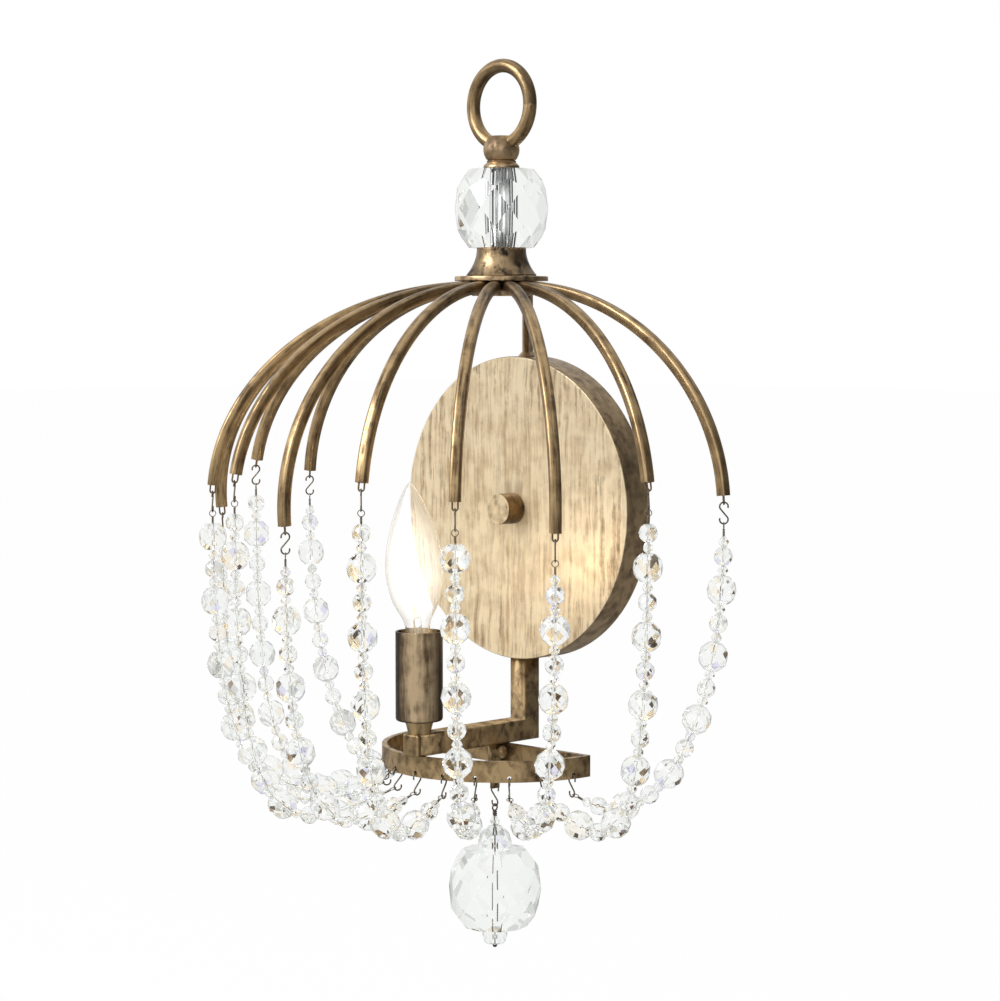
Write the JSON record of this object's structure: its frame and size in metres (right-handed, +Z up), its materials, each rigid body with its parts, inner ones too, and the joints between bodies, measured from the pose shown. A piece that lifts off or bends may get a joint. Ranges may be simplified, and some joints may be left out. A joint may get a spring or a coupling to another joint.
{
  "type": "wall sconce",
  "caption": "Antique gold wall sconce: curved metal arms carry swagged crystal bead strands around one candle lamp, with a faceted pendant below.",
  "frame": {"origin": "on the wall plane, at the centre of the round back plate and midway between the mounting bar slots", "axes": "+Z up, +X to the right as seen from the room, -Y out of the wall into the room"},
  "size_m": [0.3502, 0.2049, 0.5195],
  "materials": {
    "gold_bronze": "antique gold-bronze patina, rubbed highlights",
    "brushed_gold": "pale champagne gold with dark vertical brush streaks",
    "sleeve_bronze": "streaked brown-gold paint",
    "crystal": "clear cut crystal, polished facets",
    "clear_glass": "clear blown glass",
    "bright_sleeve": "bright polished",
    "dark_wire": "darkened beading wire",
    "zinc_steel": "zinc plated",
    "green_paint": "green",
    "black_plastic": "matte",
    "socket_plastic": "matte phenolic",
    "socket_brass": "plain",
    "lead_insulation": "semi-gloss",
    "connector_plastic": "matte orange",
    "nickel_base": "satin nickel",
    "filament": "glowing when lit"
  },
  "bodies": {
    "fixture": {"hub": "gold_bronze", "crown_rod": "zinc_steel", "flared_collar": "gold_bronze", "crown_ball": "crystal", "crown_sleeve": "bright_sleeve", "ball_collar": "gold_bronze", "loop_knuckle": "gold_bronze", "top_loop": "gold_bronze", "arms_long": "gold_bronze", "arms_medium": "gold_bronze", "arms_short": "gold_bronze", "arm_eyes": "gold_bronze", "rear_stem": "gold_bronze", "canopy_pan": "brushed_gold", "mounting_bar": "zinc_steel", "mounting_stud": "zinc_steel", "ground_screw": "green_paint", "lower_bracket": "gold_bronze", "bracket_plug": "gold_bronze", "lead_bushing": "black_plastic", "socket_neck": "gold_bronze", "socket_nipple": "zinc_steel", "candle_sleeve": "sleeve_bronze", "lamp_socket": "socket_plastic", "socket_contacts": "socket_brass", "socket_leads": "lead_insulation", "lead_connectors": "connector_plastic", "lower_ring": "gold_bronze", "pendant_boss": "gold_bronze"},
    "strand_01": {"strand_01_beads": "crystal", "strand_01_wires": "dark_wire"},
    "strand_02": {"strand_02_beads": "crystal", "strand_02_wires": "dark_wire"},
    "strand_03": {"strand_03_beads": "crystal", "strand_03_wires": "dark_wire"},
    "strand_04": {"strand_04_beads": "crystal", "strand_04_wires": "dark_wire"},
    "strand_05": {"strand_05_beads": "crystal", "strand_05_wires": "dark_wire"},
    "strand_06": {"strand_06_beads": "crystal", "strand_06_wires": "dark_wire"},
    "strand_07": {"strand_07_beads": "crystal", "strand_07_wires": "dark_wire"},
    "strand_08": {"strand_08_beads": "crystal", "strand_08_wires": "dark_wire"},
    "strand_09": {"strand_09_beads": "crystal", "strand_09_wires": "dark_wire"},
    "strand_10": {"strand_10_beads": "crystal", "strand_10_wires": "dark_wire"},
    "strand_11": {"strand_11_beads": "crystal", "strand_11_wires": "dark_wire"},
    "pendant_link": {"pendant_hook": "dark_wire"},
    "pendant": {"pendant_wire": "dark_wire", "pendant_dome": "crystal", "pendant_ball": "crystal", "pendant_small_beads": "crystal"},
    "bulb": {"bulb_glass": "clear_glass", "bulb_base": "nickel_base", "bulb_filament": "filament"},
    "knob": {"cap_nut": "gold_bronze"}
  },
  "joints": [
    {"name": "strand_01_swing", "type": "hinge", "parent": "fixture", "child": "strand_01", "pos_m": [-0.06766, -0.04193, -0.1471], "axis": [-0.5337, 0.0633, 0.8433], "range_deg": [-8, 8]},
    {"name": "strand_02_swing", "type": "hinge", "parent": "fixture", "child": "strand_02", "pos_m": [-0.06175, -0.06012, -0.1471], "axis": [-0.4989, -0.1107, 0.8595], "range_deg": [-8, 8]},
    {"name": "strand_03_swing", "type": "hinge", "parent": "fixture", "child": "strand_03", "pos_m": [-0.05105, -0.07597, -0.1471], "axis": [-0.4852, -0.3014, 0.8208], "range_deg": [-8, 8]},
    {"name": "strand_04_swing", "type": "hinge", "parent": "fixture", "child": "strand_04", "pos_m": [-0.0364, -0.08826, -0.1471], "axis": [-0.3329, -0.4147, 0.8469], "range_deg": [-8, 8]},
    {"name": "strand_05_swing", "type": "hinge", "parent": "fixture", "child": "strand_05", "pos_m": [-0.01894, -0.09604, -0.1471], "axis": [-0.1683, -0.4783, 0.8619], "range_deg": [-8, 8]},
    {"name": "strand_06_swing", "type": "hinge", "parent": "fixture", "child": "strand_06", "pos_m": [0, -0.0987, -0.1471], "axis": [0, -0.5687, 0.8226], "range_deg": [-8, 8]},
    {"name": "strand_07_swing", "type": "hinge", "parent": "fixture", "child": "strand_07", "pos_m": [0.01894, -0.09604, -0.1471], "axis": [0.1683, -0.4783, 0.8619], "range_deg": [-8, 8]},
    {"name": "strand_08_swing", "type": "hinge", "parent": "fixture", "child": "strand_08", "pos_m": [0.0364, -0.08826, -0.1471], "axis": [0.3329, -0.4147, 0.8469], "range_deg": [-8, 8]},
    {"name": "strand_09_swing", "type": "hinge", "parent": "fixture", "child": "strand_09", "pos_m": [0.05105, -0.07597, -0.1471], "axis": [0.4852, -0.3014, 0.8208], "range_deg": [-8, 8]},
    {"name": "strand_10_swing", "type": "hinge", "parent": "fixture", "child": "strand_10", "pos_m": [0.06175, -0.06012, -0.1471], "axis": [0.4989, -0.1107, 0.8595], "range_deg": [-8, 8]},
    {"name": "strand_11_swing", "type": "hinge", "parent": "fixture", "child": "strand_11", "pos_m": [0.06766, -0.04193, -0.1471], "axis": [0.5337, 0.0633, 0.8433], "range_deg": [-8, 8]},
    {"name": "pendant_hook_swing", "type": "hinge", "parent": "fixture", "child": "pendant_link", "pos_m": [0, -0.0355, -0.1616], "axis": [1, 0, 0], "range_deg": [-12, 12]},
    {"name": "pendant_swing", "type": "hinge", "parent": "pendant_link", "child": "pendant", "pos_m": [0, -0.0355, -0.1722], "axis": [0, 1, 0], "range_deg": [-12, 12]},
    {"name": "bulb_turn", "type": "hinge", "parent": "fixture", "child": "bulb", "pos_m": [0, -0.097, -0.08], "axis": [-0.0364, -0.0351, 0.9987], "continuous": true},
    {"name": "cap_nut_turn", "type": "hinge", "parent": "fixture", "child": "knob", "pos_m": [0, -0.0196, 0], "axis": [0, 1, 0], "continuous": true}
  ]
}
